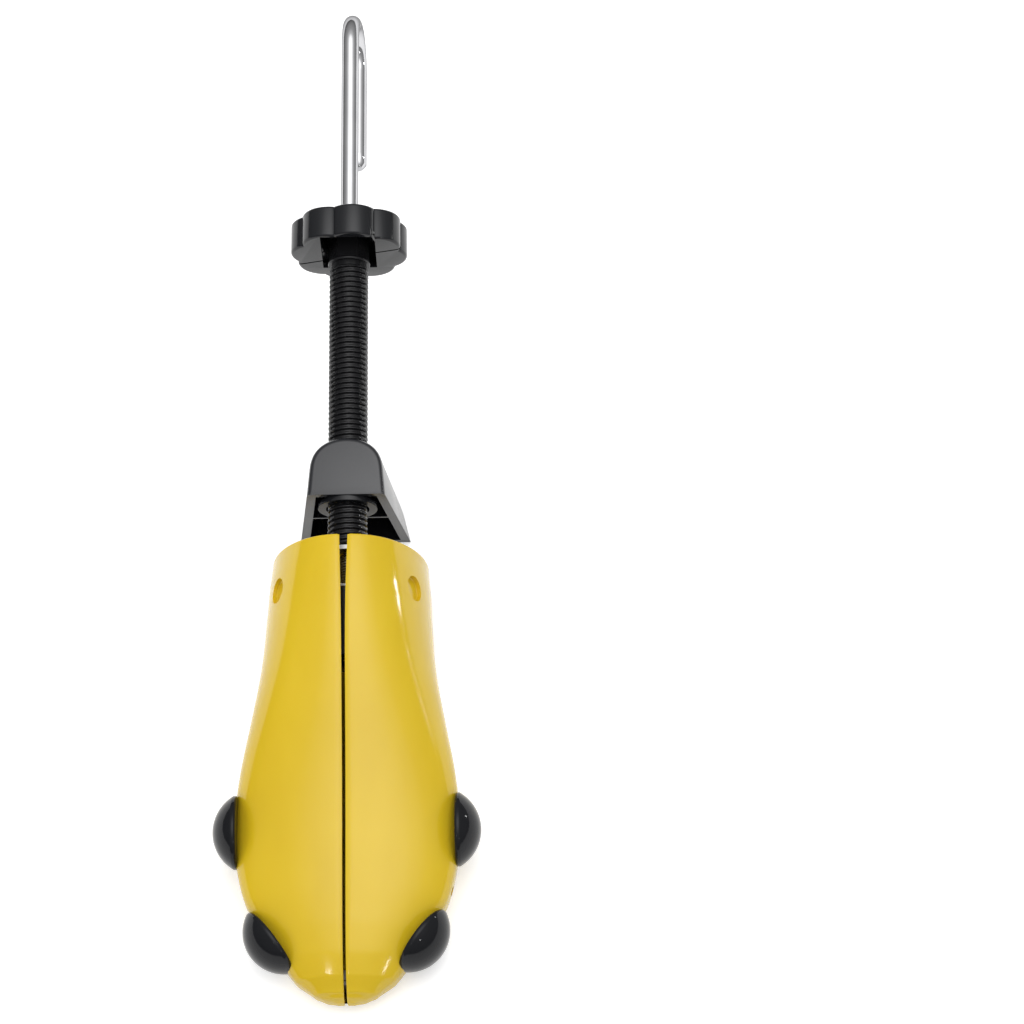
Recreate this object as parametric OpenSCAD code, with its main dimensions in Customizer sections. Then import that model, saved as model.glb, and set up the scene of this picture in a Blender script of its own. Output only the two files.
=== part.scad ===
// Two-way shoe stretcher: a split toe form, a heel block on a threaded tube, and a hook handle.
// X runs across the shoe, +Y towards the handle, +Z up. The origin is at the middle of the
// object's box in X and Y, on the surface that it stands on.

/* [Toe form] */
// Length of the toe form from its rear edge to its tip
form_len = 156; // [140:1:175]
// Half width of the form at the ball of the foot
ball_half_w = 39.8; // [36:0.1:44]
// Half width of the form at its rear edge
rear_half_w = 28.4; // [26:0.1:31]
// Height of the ridge at the rear edge
rear_h = 61; // [56:0.5:66]
// Wall of the moulded halves
wall = 2.6; // [2:0.1:3.2]
// Half of the gap between the halves at the rear edge
rear_gap = 1.45; // [1.2:0.05:2]
// Half of the gap between the halves at the tip
tip_gap = 0.5; // [0.45:0.05:0.8]

/* [Bunion pads] */
// Diameter of a pad at its base
pad_d = 26; // [20:0.2:28]
// Height of the dome above the form
pad_h = 7.5; // [6:0.1:10]
// Diameter of the pad's stem
pad_stem_d = 4.6; // [3.6:0.2:6]
// Diameter of the empty spare socket
spare_d = 3.6; // [3:0.1:4.4]
// Diameter of the round recess high on each side
recess_d = 9; // [7:0.2:10]
// Depth of that recess
recess_depth = 2.2; // [1.5:0.1:3]

/* [Spreader] */
// Angle that each half opens by
open_deg = 2.6; // [1.5:0.1:2.8]
// Travel of the wedge
wedge_travel = 11; // [8:0.5:11.5]
// Half width of the wedge at its rear face
wedge_rear_half = 7.5; // [7:0.1:8]
// Height of the wedge
wedge_h = 14; // [12:0.5:16]
// Radius of the rounded rib that rides on the wedge
rib_r = 3; // [2.5:0.1:3.5]

/* [Threaded tube] */
// Outside diameter over the thread
tube_d = 15; // [14:0.1:16]
// Width over the flats at the two sides of the tube
flat_w = 14.1; // [13:0.1:14.6]
// Bore of the tube
tube_bore = 7.4; // [7.2:0.1:8]
// Angle of the tube above the floor
tilt = 9.2; // [7.5:0.1:11]
// Height of the tube's axis over the floor at the form's rear edge
axis_z = 38.9; // [37:0.1:41]
// Distance along the axis from there to the knob's toe side
knob_q = 119.5; // [115:0.1:135]

/* [Heel block] */
// Width of the top plate
heel_w = 26.6; // [25:0.1:28]
// Length of the top plate along the tube
heel_len = 21.8; // [20:0.1:26]
// Height of the top plate over the tube's axis
heel_top = 11.2; // [11:0.1:13]
// Distance along the axis from the form's rear edge to the block's open front
heel_q = 22; // [18:0.1:28]
// Wall of the block
heel_wall = 3.3; // [2.6:0.1:3.6]
// Angle that the walls lean out by
heel_flare = 7; // [4:0.5:9]
// Share that the arch narrows by towards its rear, at the top plate
heel_draw_top = 0.05; // [0:0.01:0.2]
// Share that the arch narrows by towards its rear, at the floor
heel_draw_low = 0.36; // [0.2:0.01:0.45]
// Outside diameter of the boss round the tube
boss_d = 22; // [21.6:0.1:22.4]

/* [Knob] */
// Mean diameter of the lobed rim
knob_d = 41; // [38:0.2:46]
// Height of a lobe over and under the mean radius
lobe = 1.05; // [0.4:0.05:1.2]
// Number of lobes
lobes = 8; // [6:1:10]
// Thickness of the knob
knob_t = 12.1; // [10:0.1:14]
// Wall of the two knob halves
knob_wall = 2; // [1.6:0.1:2.4]
// Width of the window in the toe side
window_w = 20; // [18:0.2:21]
// Angle of the joint between the halves
seam_deg = 17.7; // [0:0.1:30]
// Angle of the lobes from the joint
lobe_deg = 4.7; // [0:0.1:20]
// Angle of the window
window_deg = -1.5; // [-10:0.5:10]

/* [Hook handle] */
// Diameter of the steel rod
rod_d = 6.5; // [6:0.1:7]
// Distance from the rod to the returned leg
hook_c = 26; // [22:0.5:30]
// Distance along the axis to the middle of the bend
bend_q = 207.9; // [195:0.1:220]
// Length of the returned leg
return_len = 39; // [25:1:50]
// Angle of the hook round the rod
hook_roll = 3; // [0:0.5:30]
// Major diameter of the rod's threaded end
thread_d = 5.88; // [5:0.02:5.9]

/* [Hidden] */
yellow = [0.90, 0.72, 0.20];
black = [0.13, 0.13, 0.14];
steel = [0.78, 0.79, 0.80];
// Radial clearance of a shaft that runs in a bearing
run_fit = 0.06;
// Clearance between pieces that only pass each other
pass_gap = 0.35;
// Clearance of a piece seated in its own body
seat_gap = 0.08;
$fn = 72;

// Where the box's middle lies along Y
hook_end_y = bend_q * cos(tilt) + hook_c / 2 * sin(tilt) + hook_c / 2 + rod_d / 2;
mid_y = (hook_end_y - form_len) / 2;

// Outline of one half by share of the length from the rear: half width, height of the ridge,
// of the widest line and of the underside, and half of the gap between the halves
stations = [
    [0.000, rear_half_w, rear_h, 20, 0, rear_gap],
    [0.060, rear_half_w + 0.9, rear_h - 0.8, 21, 0, 1.2],
    [0.130, rear_half_w + 1.5, rear_h - 2.6, 22, 0, 0.9],
    [0.240, ball_half_w - 8.4, rear_h - 7, 22, 0, 0.68],
    [0.360, ball_half_w - 5.1, rear_h - 13.2, 21, 0, 0.64],
    [0.480, ball_half_w - 1.7, rear_h - 19.6, 19.5, 0, 0.62],
    [0.600, ball_half_w, rear_h - 25, 18, 0, 0.6],
    [0.700, ball_half_w - 1.3, rear_h - 28.8, 16.5, 0, 0.6],
    [0.780, ball_half_w - 4.6, rear_h - 32, 15.2, 0.2, 0.58],
    [0.850, ball_half_w - 10.9, rear_h - 35.2, 14, 0.8, 0.56],
    [0.910, ball_half_w - 17.2, rear_h - 38.8, 12.6, 1.8, 0.54],
    [0.955, ball_half_w - 22.8, rear_h - 42.8, 11.2, 3.0, tip_gap],
    [0.985, ball_half_w - 29.0, rear_h - 47.2, 9.8, 4.6, tip_gap],
    [1.000, ball_half_w - 36.4, rear_h - 51.6, 8.2, 6.4, tip_gap]];
ring_count = 30;
arc_steps = 18;
hollow_end = 0.93;
slant_len = 60;
squareness = 0.55;
flat_cut = 0.8;

function smooth(p, q, r, s, t) =
    0.5 * (2 * q + (r - p) * t + (2 * p - 5 * q + 4 * r - s) * t * t
        + (3 * q - p - 3 * r + s) * t * t * t);
function clamp_i(i) = max(0, min(len(stations) - 1, i));
function span(u, i = 0) = (i >= len(stations) - 2 || u < stations[i + 1][0]) ? i : span(u, i + 1);
// One column of the table at a share u of the length
function at(u, column) =
    let (i = span(u))
    let (t = (u - stations[i][0]) / (stations[i + 1][0] - stations[i][0]))
    smooth(stations[clamp_i(i - 1)][column], stations[i][column],
        stations[i + 1][column], stations[clamp_i(i + 2)][column], t);
function low_at(u) = max(0, at(u, 4));
// The rear edge leans with the tube and the lean fades out along the form
function lean(u, z) =
    (rear_h - z) * tan(tilt) * pow(max(0, 1 - u * form_len / slant_len), 2);
// A point of the section: the arch above the widest line, a squarer corner under it, cut off flat
function section_point(u, a, half, top, low, gap) =
    let (mid = at(u, 3))
    let (x = gap + (half - gap) * (a >= 0 ? cos(a) : pow(cos(a), squareness)))
    let (drop = a >= 0 ? 0 : (mid - low + flat_cut) * pow(-sin(a), squareness))
    let (z = a >= 0 ? mid + (top - mid) * sin(a) : max(low, mid - drop))
    [x, lean(u, z) - u * form_len, z];
function outer_ring(u) = [for (j = [0:arc_steps])
    section_point(u, 90 - 180 * j / arc_steps, at(u, 1), at(u, 2), low_at(u), at(u, 5))];
function inner_ring(u) = [for (j = [0:arc_steps])
    section_point(u, 90 - 180 * j / arc_steps, at(u, 1) - wall, at(u, 2) - wall, low_at(u) + wall,
        at(u, 5))];
// Ahead of the hollow the section is solid, so its inner line lies on the joint face
function flat_ring(u) =
    let (top = at(u, 2), low = low_at(u))
    [for (j = [0:arc_steps])
        let (z = top - (top - low) * (0.2 + 0.6 * j / arc_steps))
        [at(u, 5), lean(u, z) - u * form_len, z]];
ring_at = [for (i = [0:ring_count])
    let (t = i / ring_count)
    t < 0.8 ? t * 1.16 : 0.928 + (t - 0.8) * 0.36];

// Skin of a run of rings with the same number of points, closed round and capped by strips
function ring_faces(count, size) = concat(
    [for (i = [0:count - 2], j = [0:size - 1])
        let (a = i * size + j, b = i * size + (j + 1) % size)
        [a, b, a + size]],
    [for (i = [0:count - 2], j = [0:size - 1])
        let (a = i * size + j, b = i * size + (j + 1) % size)
        [b, b + size, a + size]]);
function cap_faces(start, half, flip) = [for (j = [0:half - 2], k = [0, 1])
    let (a = start + j, b = start + j + 1, c = start + 2 * half - 1 - j, d = c - 1)
    let (tri = k == 0 ? [a, b, c] : [b, d, c])
    flip ? tri : [tri[2], tri[1], tri[0]]];
function reversed(list) = [for (i = [len(list) - 1:-1:0]) list[i]];

module form_shell() {
    half = arc_steps + 1;
    rings = [for (u = ring_at) concat(outer_ring(u),
        reversed(u < hollow_end ? inner_ring(u) : flat_ring(u)))];
    count = len(rings);
    polyhedron(points = [for (r = rings) each r],
        faces = concat(ring_faces(count, 2 * half), cap_faces(0, half, false),
            cap_faces((count - 1) * 2 * half, half, true)));
}

// The same half without its hollow, drawn inset from its surface: inset 0 cuts the pads to the form
// and an inset past the wall cuts the blocks to the hollow
module form_solid(inset, start, end) {
    half = arc_steps + 1;
    solid_at = [for (u = ring_at) if (u >= start && u < end) u];
    rings = [for (u = solid_at) concat(
        [for (j = [0:arc_steps]) section_point(u, 90 - 180 * j / arc_steps, at(u, 1) - inset,
            at(u, 2) - inset, low_at(u) + inset, at(u, 5))],
        reversed(flat_ring(u)))];
    count = len(rings);
    polyhedron(points = [for (r = rings) each r],
        faces = concat(ring_faces(count, 2 * half), cap_faces(0, half, false),
            cap_faces((count - 1) * 2 * half, half, true)));
}

// Places on the form: share of the length, height and the outward direction
ball_u = 96 / 156;
ball_z = 19;
toe_u = 135.4 / 156;
toe_z = 13;
toe_turn = 52;
spare_u = 116.8 / 156;
spare_z = 13;
recess_u = 14.8 / 156;
recess_z = 43;
pin_y = 7.5 - form_len;
pin_d = 2.4;
knuckle_d = 5.4;
knuckle_low = 6.6;
knuckle_h = 1.9;
knuckle_gap = 0.1;
leaf_t = 1.2;
leaf_end = 9.6;
leaf_turn = 35;
function skin_angle(u, z) = z >= at(u, 3) ? asin((z - at(u, 3)) / (at(u, 2) - at(u, 3)))
    : -asin(pow((at(u, 3) - z) / (at(u, 3) - low_at(u) + flat_cut), 1 / squareness));
function skin_point(u, z) = section_point(u, skin_angle(u, z), at(u, 1), at(u, 2), low_at(u), at(u, 5));

// Lay a child's +Z along the outward direction at a place on the right half
module on_form(u, z, turn) {
    p = skin_point(u, z);
    translate(p) rotate([0, 0, -turn]) rotate([90, 0, 0]) children();
}

// Put a child in the tube's frame: Y along the tube from the rear edge, Z square to it
module along_tube(q = 0) {
    translate([0, 0, axis_z]) rotate([tilt, 0, 0]) translate([0, q, 0]) children();
}
// A round bar along the tube
module bar(q, length, d) {
    translate([0, q, 0]) rotate([-90, 0, 0]) cylinder(h = length, d = d);
}
module place() {
    translate([0, -mid_y, 0]) children();
}
module on_side(side) {
    mirror([side < 0 ? 1 : 0, 0, 0]) children();
}

// One moulded half, drawn on the right and mirrored for the left
module half_shell(side) {
    color(yellow) place() on_side(side) difference() {
        form_shell();
        on_form(ball_u, ball_z, -90) translate([0, 0, -wall - 6])
            cylinder(h = wall + 12, d = pad_stem_d + 2 * seat_gap, $fn = 48);
        on_form(toe_u, toe_z, -toe_turn) translate([0, 0, -wall - 5])
            cylinder(h = wall + 10, d = pad_stem_d + 2 * seat_gap, $fn = 48);
        on_form(spare_u, spare_z, -78) translate([0, 0, -1.8])
            cylinder(h = 8, d = spare_d, $fn = 48);
        on_form(recess_u, recess_z, -90) translate([0, 0, -recess_depth])
            cylinder(h = 12, d = recess_d, $fn = 48);
        translate([0, pin_y, knuckle_low - 0.4 - pass_gap])
            cylinder(h = 4 * knuckle_h + 0.8 + 2 * pass_gap, d = knuckle_d + 2 * pass_gap);
        translate([0, pin_y, knuckle_low - 2 * seat_gap]) rotate([0, 0, leaf_turn])
            translate([1, -leaf_t / 2 - seat_gap, 0])
                cube([leaf_end - 1 + seat_gap, leaf_t + 2 * seat_gap, 4 * knuckle_h + 3 * seat_gap]);
    }
}
module left_half_shell() {
    half_shell(-1);
}
module right_half_shell() {
    half_shell(1);
}

// A domed pad whose underside follows the form, with a stem that plugs into its socket
pad_skirt = 2.6;
module pad(side, u, z, turn) {
    dome_r = (pow(pad_d / 2, 2) + pow(pad_h, 2)) / (2 * pad_h);
    color(black) place() on_side(side) union() {
        difference() {
            on_form(u, z, turn) translate([0, 0, -pad_skirt]) rotate_extrude($fn = 64) union() {
                square([pad_d / 2, pad_skirt]);
                intersection() {
                    translate([0, pad_skirt + pad_h - dome_r]) circle(r = dome_r);
                    translate([0, pad_skirt]) square([pad_d / 2, pad_h]);
                }
            }
            form_solid(-seat_gap, 0.3, 1);
        }
        on_form(u, z, turn) translate([0, 0, -wall - 1.5])
            cylinder(h = wall + 3, d = pad_stem_d, $fn = 48);
    }
}
module left_ball_pad() {
    pad(-1, ball_u, ball_z, -90);
}
module right_ball_pad() {
    pad(1, ball_u, ball_z, -90);
}
module left_toe_pad() {
    pad(-1, toe_u, toe_z, -toe_turn);
}
module right_toe_pad() {
    pad(1, toe_u, toe_z, -toe_turn);
}

// Steel leaf with two knuckles round the pin; the two leaves' knuckles alternate
module hinge_leaf(side, offset) {
    color(steel) place() on_side(side) difference() {
        union() {
            for (k = [0, 2]) translate([0, pin_y, knuckle_low + (k + offset) * knuckle_h])
                union() {
                    cylinder(h = knuckle_h - knuckle_gap, d = knuckle_d);
                    rotate([0, 0, leaf_turn]) translate([0, -leaf_t / 2, 0])
                        cube([leaf_end - 1, leaf_t, knuckle_h - knuckle_gap]);
                }
            translate([0, pin_y, knuckle_low]) rotate([0, 0, leaf_turn])
                translate([knuckle_d / 2 + 1, -leaf_t / 2, 0])
                    cube([leaf_end - knuckle_d / 2 - 1, leaf_t, 4 * knuckle_h - knuckle_gap]);
        }
        translate([0, pin_y, 0]) cylinder(h = 40, d = pin_d + 2 * run_fit);
    }
}
module left_hinge_leaf() {
    hinge_leaf(-1, 0);
}
module right_hinge_leaf() {
    hinge_leaf(1, 1);
}
module toe_hinge_pin() {
    color(steel) place() translate([0, pin_y, knuckle_low - 0.4])
        cylinder(h = 4 * knuckle_h + 0.8, d = pin_d);
}

// The wedge rides along the tube's axis and pushes the ribs apart
wedge_q = -11;
nut_af = 10;
nut_h = 4.5;
plate_q = 2.4;
plate_t = 1.5;
plate_half = 20;
plate_h = 17;
spigot_d = 9.4;
spigot_len = 4;
rib_q = -22;
wedge_len = 25.5;
// How far a rib moves out, and how far towards the toe, while its half opens
rib_reach = (form_len - 7.5 + rib_q * cos(tilt)) * sin(open_deg);
rib_back = 16.5 * sin(open_deg) + (form_len - 7.5 + rib_q * cos(tilt)) * (1 - cos(open_deg));
wedge_slope = rib_reach / (wedge_travel + rib_back);
rib_x = wedge_rear_half + (wedge_q - rib_q) * wedge_slope
    + (rib_r + pass_gap) / cos(atan(wedge_slope));
module wedge_block() {
    far_half = wedge_rear_half + wedge_len * wedge_slope;
    color(black) place() along_tube() difference() {
        translate([0, 0, -wedge_h / 2]) linear_extrude(height = wedge_h)
            polygon([[-wedge_rear_half, wedge_q], [wedge_rear_half, wedge_q],
                [far_half, wedge_q - wedge_len], [-far_half, wedge_q - wedge_len]]);
        bar(wedge_q - wedge_len - 1, wedge_len + 2, thread_d + 2 * pass_gap);
        bar(wedge_q - 3, 4, nut_af / cos(30) + 2 * seat_gap);
    }
}
module wedge_nut() {
    color(steel) place() along_tube() difference() {
        translate([0, wedge_q - 3 + seat_gap, 0]) rotate([-90, 0, 0])
            cylinder(h = nut_h, d = nut_af / cos(30), $fn = 6);
        bar(wedge_q - 6, 12, thread_d + 2 * run_fit);
    }
}

// Block inside each half: the rounded rib on the wedge and the rear wall on the thrust plate
block_in = 19;
block_out = 24.6;
block_low = -13;
block_high = 1;
module ramp_block(side) {
    color(yellow) place() on_side(side) intersection() {
        along_tube() union() {
            translate([block_in, -31, block_low])
                cube([block_out - block_in, 31 + plate_q - 0.5, block_high - block_low]);
            translate([9, plate_q - 4.5, -6.5]) cube([block_in - 9 + 1, 4, 7.5]);
            translate([rib_x, rib_q - rib_r * 0.8, -6.5])
                cube([block_in - rib_x + 1, rib_r * 1.6, 7.5]);
            translate([rib_x, rib_q, -6.5]) cylinder(h = 7.5, r = rib_r);
        }
        form_solid(wall + seat_gap, 0, 0.4);
    }
}
module left_ramp_block() {
    ramp_block(-1);
}
module right_ramp_block() {
    ramp_block(1);
}

// Steel plate between the tube's end and the two blocks; its spigot carries the tube
module thrust_plate() {
    color(steel) place() along_tube() difference() {
        union() {
            translate([-plate_half, plate_q, -plate_h / 2])
                cube([2 * plate_half, plate_t, plate_h / 2 + block_high]);
            bar(plate_q, plate_t, plate_h);
            bar(plate_q, plate_t + spigot_len, spigot_d);
        }
        bar(plate_q - 1, plate_t + spigot_len + 2, rod_d + 2 * run_fit);
    }
}

// Threaded tube: flats at its sides, a neck and a collar at the knob, and a hexagonal end
tube_q = plate_q + plate_t + 0.15;
neck_q = knob_q - 5.6;
collar_q = knob_q - 3.8;
hex_q = knob_q - 2.6;
hex_af = 12.8;
hex_end_q = knob_q + knob_t - knob_wall - seat_gap;
module threaded_tube() {
    color(black) place() along_tube() difference() {
        union() {
            intersection() {
                bar(tube_q, neck_q - tube_q, tube_d);
                translate([-flat_w / 2, tube_q - 1, -tube_d]) cube([flat_w, neck_q, 2 * tube_d]);
            }
            bar(neck_q - 0.5, collar_q - neck_q + 1, tube_d - 2);
            bar(collar_q, hex_q - collar_q, tube_d + 0.6);
            translate([0, hex_q - 0.5, 0]) rotate([-90, 0, 0])
                cylinder(h = hex_end_q - hex_q + 0.5, d = hex_af / cos(30), $fn = 6);
        }
        bar(tube_q - 1, knob_q + 4 - tube_q, tube_bore);
        bar(knob_q, knob_t + 2, rod_d + 2 * run_fit);
        bar(tube_q - 1, spigot_len + 1.5, spigot_d + 2 * run_fit);
    }
}

// Lobed outline of the knob
function rim(r) = [for (i = [0:16 * lobes - 1])
    let (a = 22.5 * i / lobes - lobe_deg,
        d = r + lobe * (2 * pow(abs(cos(lobes / 2 * (a + lobe_deg + 180 / lobes))), 0.8) - 1))
    [d * cos(a), d * sin(a)]];
module lobed(q, t, r) {
    translate([0, q + t, 0]) rotate([90, 0, 0]) linear_extrude(height = t) polygon(rim(r));
}
screw_x = 12.4;
screw_d = 2.6;
module screw_places() {
    for (s = [-1, 1]) translate([s * screw_x, knob_q + knob_t / 2, 0]) children();
}
// One half of the knob: a hollow lobed shell with a window and two screw bosses
module knob_half(up) {
    r = knob_d / 2;
    color(black) place() along_tube() difference() {
        rotate([0, -seam_deg, 0]) difference() {
            union() {
                difference() {
                    lobed(knob_q, knob_t, r);
                    lobed(knob_q + knob_wall, knob_t - 2 * knob_wall, r - knob_wall);
                }
                intersection() {
                    screw_places() translate([0, 0, -r]) cylinder(h = 2 * r, d = 6.4, $fn = 32);
                    lobed(knob_q + 1, knob_t - 2, r - 1);
                }
            }
            translate([-2 * r, knob_q - 1, up ? -4 * r : -seat_gap])
                cube([4 * r, knob_t + 2, 4 * r + seat_gap]);
            screw_places() translate([0, 0, -9.5]) cylinder(h = 19, d = screw_d + 2 * seat_gap, $fn = 32);
            screw_places() translate([0, 0, -r - 2]) cylinder(h = r - 7, d = 4.8, $fn = 32);
        }
        bar(knob_q - 1, knob_t - knob_wall + 1, hex_af / cos(30) + 0.6);
        bar(knob_q - 1, knob_t + 2, rod_d + 2.4);
        rotate([0, -window_deg, 0]) translate([-window_w / 2, knob_q - 1, -10])
            cube([window_w, knob_wall + 2, r + 7.3]);
    }
}
module knob_upper_half() {
    knob_half(true);
}
module knob_lower_half() {
    knob_half(false);
}
module knob_screws() {
    color(steel) place() along_tube() rotate([0, -seam_deg, 0])
        screw_places() union() {
            translate([0, 0, -9]) cylinder(h = 17, d = screw_d, $fn = 32);
            translate([0, 0, -11]) cylinder(h = 2, d = 4.6, $fn = 32);
        }
}

// Heel block: walls that lean out from an arched top plate, open at the front and below
heel_drop = 52;
heel_straight = 9;
boss_back = 5.5;
arch_steps = 24;
// Arched outline, open at the front: sides that draw in, then a rounded rear
function heel_arch(half, length, straight, draw) = concat(
    [[half, heel_q]],
    [for (i = [0:arch_steps])
        let (a = 180 * i / arch_steps, back = straight + (length - straight) * pow(sin(a), 0.6))
        [half * cos(a) * (1 - draw * back / length), heel_q + back]],
    [[-half, heel_q]]);
function heel_draw(z) = heel_draw_top
    + (heel_draw_low - heel_draw_top) * (heel_top - z) / (heel_top + heel_drop);
function heel_level(z, inset) =
    let (grow = (heel_top - z) * tan(heel_flare))
    [for (p = heel_arch(heel_w / 2 + grow - inset, heel_len + grow - inset, heel_straight, heel_draw(z)))
        [p[0], p[1], z]];
// Everything inside the block's outer walls, and the walls alone
module heel_room() {
    rings = [for (z = [heel_top, -heel_drop]) heel_level(z, 0)];
    size = len(rings[0]);
    polyhedron(points = [for (r = rings) each r],
        faces = concat(ring_faces(2, size), [[for (i = [size - 1:-1:0]) i]],
            [[for (i = [0:size - 1]) size + i]]));
}
module heel_walls() {
    rings = [for (z = [heel_top, -heel_drop])
        concat(heel_level(z, 0), reversed(heel_level(z, heel_wall)))];
    size = len(rings[0]);
    polyhedron(points = [for (r = rings) each r],
        faces = concat(ring_faces(2, size), cap_faces(0, size / 2, false),
            cap_faces(size, size / 2, true)));
}
module heel_block() {
    boss_end = heel_q + heel_len - heel_wall / 2;
    plate_in = heel_wall * 0.4;
    web_t = 1.2;
    sole_t = 2.6;
    sole_half = heel_w / 2 + (heel_top + axis_z) * tan(heel_flare) - heel_wall * 0.5;
    sole_len = heel_len + (heel_top + axis_z) * tan(heel_flare) - heel_wall * 0.5;
    color(black) place() difference() {
        union() {
            intersection() {
                along_tube() translate([0, 0, -heel_drop]) linear_extrude(height = heel_drop)
                    polygon(heel_arch(sole_half, sole_len, heel_straight, heel_draw(-axis_z)));
                translate([-60, 0, 0]) cube([120, 120, sole_t]);
            }
            along_tube() union() {
                heel_walls();
                translate([0, 0, heel_top - heel_wall * 0.8]) linear_extrude(height = heel_wall * 0.8)
                    polygon(heel_arch(heel_w / 2 - plate_in, heel_len - plate_in, heel_straight,
                        heel_draw_top));
                intersection() {
                    heel_room();
                    union() {
                        bar(heel_q + boss_back, boss_end - heel_q - boss_back, boss_d);
                        translate([-heel_w / 2, heel_q + 0.6, -11.2 - web_t])
                            cube([heel_w, heel_len * 0.7, web_t]);
                    }
                }
            }
        }
        along_tube() bar(heel_q - 1, heel_len + 12, tube_d + 3 + 2 * seat_gap);
        translate([-60, -20, -60]) cube([120, 140, 60]);
    }
}
// Threaded insert in the block's boss, with a flange ahead of the open front
flange_t = 1.8;
module heel_nut() {
    nut_len = heel_len - heel_wall;
    color(black) place() along_tube() difference() {
        union() {
            bar(heel_q - flange_t, flange_t - seat_gap, boss_d - 0.6);
            bar(heel_q - flange_t, nut_len + flange_t, tube_d + 3);
        }
        bar(heel_q - flange_t - 1, nut_len + flange_t + 3, tube_d + 2 * pass_gap);
    }
}

// Steel rod with a threaded front end and a hook bent back on itself
module hook_rod() {
    bend_r = hook_c / 2;
    thread_end = plate_q - 0.5;
    color(steel) place() along_tube() rotate([0, -hook_roll, 0]) union() {
        bar(wedge_q - wedge_len - 4, thread_end - wedge_q + wedge_len + 4.5, thread_d);
        bar(thread_end, bend_q - thread_end, rod_d);
        translate([0, bend_q, -bend_r]) rotate([0, -90, 0]) rotate_extrude(angle = 180)
            translate([bend_r, 0]) circle(d = rod_d, $fn = 48);
        translate([0, bend_q - return_len, -hook_c]) rotate([-90, 0, 0])
            cylinder(h = return_len, d = rod_d);
        translate([0, bend_q - return_len - 1.6, -hook_c]) rotate([-90, 0, 0])
            cylinder(h = 1.6, d1 = rod_d * 0.6, d2 = rod_d);
    }
}
washer_q = knob_q + knob_t + 0.1;
module rod_washer() {
    color(steel) place() along_tube() difference() {
        bar(washer_q, 1, 12);
        bar(washer_q - 1, 3, rod_d + 2 * run_fit);
    }
}
module rod_collar() {
    color(steel) place() along_tube() difference() {
        bar(washer_q + 1.1, 2.4, 10);
        bar(washer_q, 5, rod_d + 2 * seat_gap);
    }
}

left_half_shell();
right_half_shell();
left_ramp_block();
right_ramp_block();
left_hinge_leaf();
right_hinge_leaf();
toe_hinge_pin();
thrust_plate();
left_ball_pad();
right_ball_pad();
left_toe_pad();
right_toe_pad();
wedge_block();
wedge_nut();
threaded_tube();
knob_upper_half();
knob_lower_half();
knob_screws();
heel_block();
heel_nut();
hook_rod();
rod_washer();
rod_collar();
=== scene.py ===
import math

import bmesh
import bpy
import numpy as np
from mathutils import Matrix


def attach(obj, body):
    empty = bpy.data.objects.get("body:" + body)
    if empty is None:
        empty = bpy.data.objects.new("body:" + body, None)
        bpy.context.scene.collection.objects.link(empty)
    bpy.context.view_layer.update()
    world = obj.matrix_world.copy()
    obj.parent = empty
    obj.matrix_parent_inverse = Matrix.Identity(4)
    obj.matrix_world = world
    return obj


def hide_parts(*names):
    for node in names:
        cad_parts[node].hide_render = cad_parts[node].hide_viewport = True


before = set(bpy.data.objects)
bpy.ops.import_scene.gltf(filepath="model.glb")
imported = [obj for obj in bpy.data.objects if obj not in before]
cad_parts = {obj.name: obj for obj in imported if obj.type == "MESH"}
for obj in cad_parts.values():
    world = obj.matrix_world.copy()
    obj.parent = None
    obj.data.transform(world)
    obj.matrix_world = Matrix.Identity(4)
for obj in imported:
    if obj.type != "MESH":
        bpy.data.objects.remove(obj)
print("frame loaded")


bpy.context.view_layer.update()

# Sizes here are in millimetres, with Y = 0 at the rear of the toe form. toRow turns them into
# metres in the shared frame, whose origin is under the middle of the whole object.
span = {"formLength": 156.0, "bendQ": 207.9, "bend": 13.0, "rod": 3.25}
tube = {
    "tilt": math.radians(9.2), "axisHeight": 38.9,
    "crest": 7.5, "flat": 7.05, "pitch": 2.0, "depth": 0.95, "start": 4.05, "step": 0.142,
    "runIn": 1.2, "runOut": 0.8, "columns": 76,
    "neck": 113.9, "neckRadius": 6.5,
    "collar": 115.7, "collarRadius": 7.8, "collarMiddle": 116.3, "collarFlat": 0.35, "collarDrop": 0.25,
    "hexStart": 116.9, "hexAcross": 12.8, "end": 129.52, "bore": 3.7,
}
# where the middle of the whole length is, from the rear of the form: half the reach behind it, to
# the back of the hook's bend, less half the form's length
midLength = (span["bendQ"] * math.cos(tube["tilt"]) + span["bend"] * math.sin(tube["tilt"])
             + span["bend"] + span["rod"] - span["formLength"]) / 2


def toRow(points):
    # row = ((x, y, z) - (0, midLength, 0)) / 1000
    return (np.asarray(points, float) - np.array([0, midLength, 0])) / 1000


def alongTube(x, q, p):
    # q runs along the tube and p square to it: y = q cos t - p sin t, z = axis + q sin t + p cos t
    x, q, p = np.broadcast_arrays(np.asarray(x, float), np.asarray(q, float), np.asarray(p, float))
    c, s = math.cos(tube["tilt"]), math.sin(tube["tilt"])
    return np.stack([x, q * c - p * s, tube["axisHeight"] + q * s + p * c], axis=-1)


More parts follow.
